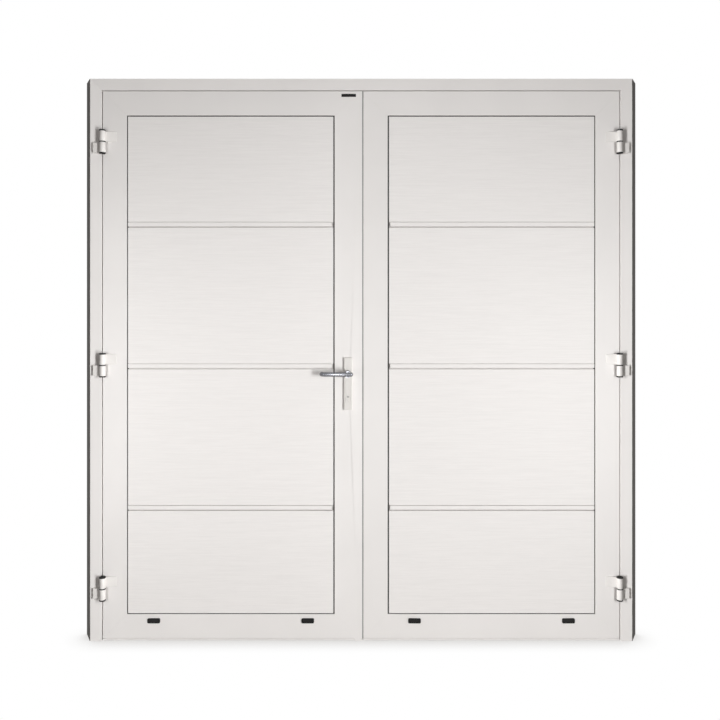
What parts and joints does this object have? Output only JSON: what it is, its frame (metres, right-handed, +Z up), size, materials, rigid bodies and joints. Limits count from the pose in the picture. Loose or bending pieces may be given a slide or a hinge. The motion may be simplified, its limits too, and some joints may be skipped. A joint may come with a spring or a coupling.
{
  "type": "double utility door with frame",
  "caption": "White double-leaf door set in a slim frame, with raised ribbed infill, barrel hinges, lever handle on a long plate, lock and flush bolts; leaves swing outward.",
  "frame": {"origin": "on the floor, midway between the jambs and midway through the depth", "axes": "+X to the right seen from outside, +Y from outside to inside, +Z up"},
  "size_m": [2.197, 0.1846, 2.204],
  "materials": {
    "white_coat": "white satin powder coat on extruded aluminium",
    "infill_skin": "white embossed sheet skin with horizontal wood grain over a foam core",
    "seal_rubber": "black matt sealing rubber",
    "grey_seal": "grey matt sealing lip",
    "wall_strip": "dark grey matt joint strip",
    "black_plastic": "black moulded plastic",
    "satin_steel": "satin finish steel",
    "zinc_steel": "zinc plated steel"
  },
  "bodies": {
    "frame": {"left_jamb": "white_coat", "right_jamb": "white_coat", "header": "white_coat", "threshold": "white_coat", "left_wall_strip": "wall_strip", "right_wall_strip": "wall_strip", "stop_seals": "seal_rubber", "frame_cleats": "zinc_steel", "left_frame_knuckles": "white_coat", "right_frame_knuckles": "white_coat", "hinge_pins": "zinc_steel", "hinge_washers": "black_plastic", "hinge_foot_caps": "black_plastic", "bolt_keeps": "zinc_steel"},
    "left_leaf": {"left_hinge_stile": "white_coat", "left_lock_stile": "white_coat", "left_top_rail": "white_coat", "left_bottom_rail": "white_coat", "left_cleats": "zinc_steel", "left_panel_1": "infill_skin", "left_panel_2": "infill_skin", "left_panel_3": "infill_skin", "left_panel_4": "infill_skin", "left_gasket": "seal_rubber", "left_beads": "white_coat", "left_drip_strip": "white_coat", "left_drain_caps": "black_plastic", "left_leaf_knuckles": "white_coat", "left_hinge_caps": "black_plastic", "meeting_profile": "white_coat", "meeting_seal": "grey_seal", "meeting_foot": "white_coat", "lock_case": "zinc_steel", "outer_plate": "satin_steel", "inner_plate": "satin_steel", "cylinder_body": "satin_steel"},
    "handle": {"outer_lever": "satin_steel", "inner_lever": "satin_steel", "spindle": "zinc_steel"},
    "latch": {"latch_bolt": "zinc_steel"},
    "lock_bolt": {"dead_bolt": "zinc_steel"},
    "key_core": {"cylinder_core": "satin_steel"},
    "right_leaf": {"right_hinge_stile": "white_coat", "right_lock_stile": "white_coat", "right_top_rail": "white_coat", "right_bottom_rail": "white_coat", "right_cleats": "zinc_steel", "right_panel_1": "infill_skin", "right_panel_2": "infill_skin", "right_panel_3": "infill_skin", "right_panel_4": "infill_skin", "right_gasket": "seal_rubber", "right_beads": "white_coat", "right_drip_strip": "white_coat", "right_drain_caps": "black_plastic", "right_leaf_knuckles": "white_coat", "right_hinge_caps": "black_plastic", "strike_plate": "zinc_steel"},
    "top_flush_bolt": {"top_bolt": "zinc_steel"},
    "bottom_flush_bolt": {"bottom_bolt": "zinc_steel"}
  },
  "joints": [
    {"name": "left_leaf_swing", "type": "hinge", "parent": "frame", "child": "left_leaf", "pos_m": [-1.008, -0.046, 0], "axis": [0, 0, -1], "range_deg": [0, 110]},
    {"name": "right_leaf_swing", "type": "hinge", "parent": "frame", "child": "right_leaf", "pos_m": [1.008, -0.046, 0], "axis": [0, 0, 1], "range_deg": [0, 110]},
    {"name": "lever_turn", "type": "hinge", "parent": "left_leaf", "child": "handle", "pos_m": [-0.051, 0, 1.05], "axis": [0, -1, 0], "range_deg": [0, 40], "stiffness_Nm_per_rad": 1.2, "springref_deg": -40.11},
    {"name": "latch_slide", "type": "slide", "parent": "left_leaf", "child": "latch", "axis": [1, 0, 0], "range_m": [0, 0.012]},
    {"name": "key_turn", "type": "hinge", "parent": "left_leaf", "child": "key_core", "pos_m": [-0.051, 0, 0.958], "axis": [0, -1, 0], "range_deg": [0, 360]},
    {"name": "dead_bolt_slide", "type": "slide", "parent": "left_leaf", "child": "lock_bolt", "axis": [1, 0, 0], "range_m": [0, 0.02]},
    {"name": "top_bolt_slide", "type": "slide", "parent": "right_leaf", "child": "top_flush_bolt", "axis": [0, 0, 1], "range_m": [0, 0.018]},
    {"name": "bottom_bolt_slide", "type": "slide", "parent": "right_leaf", "child": "bottom_flush_bolt", "axis": [0, 0, -1], "range_m": [0, 0.018]}
  ],
  "couplings": [
    {"joint": "key_turn", "follows": "dead_bolt_slide", "rad_per_m": 314.15}
  ]
}
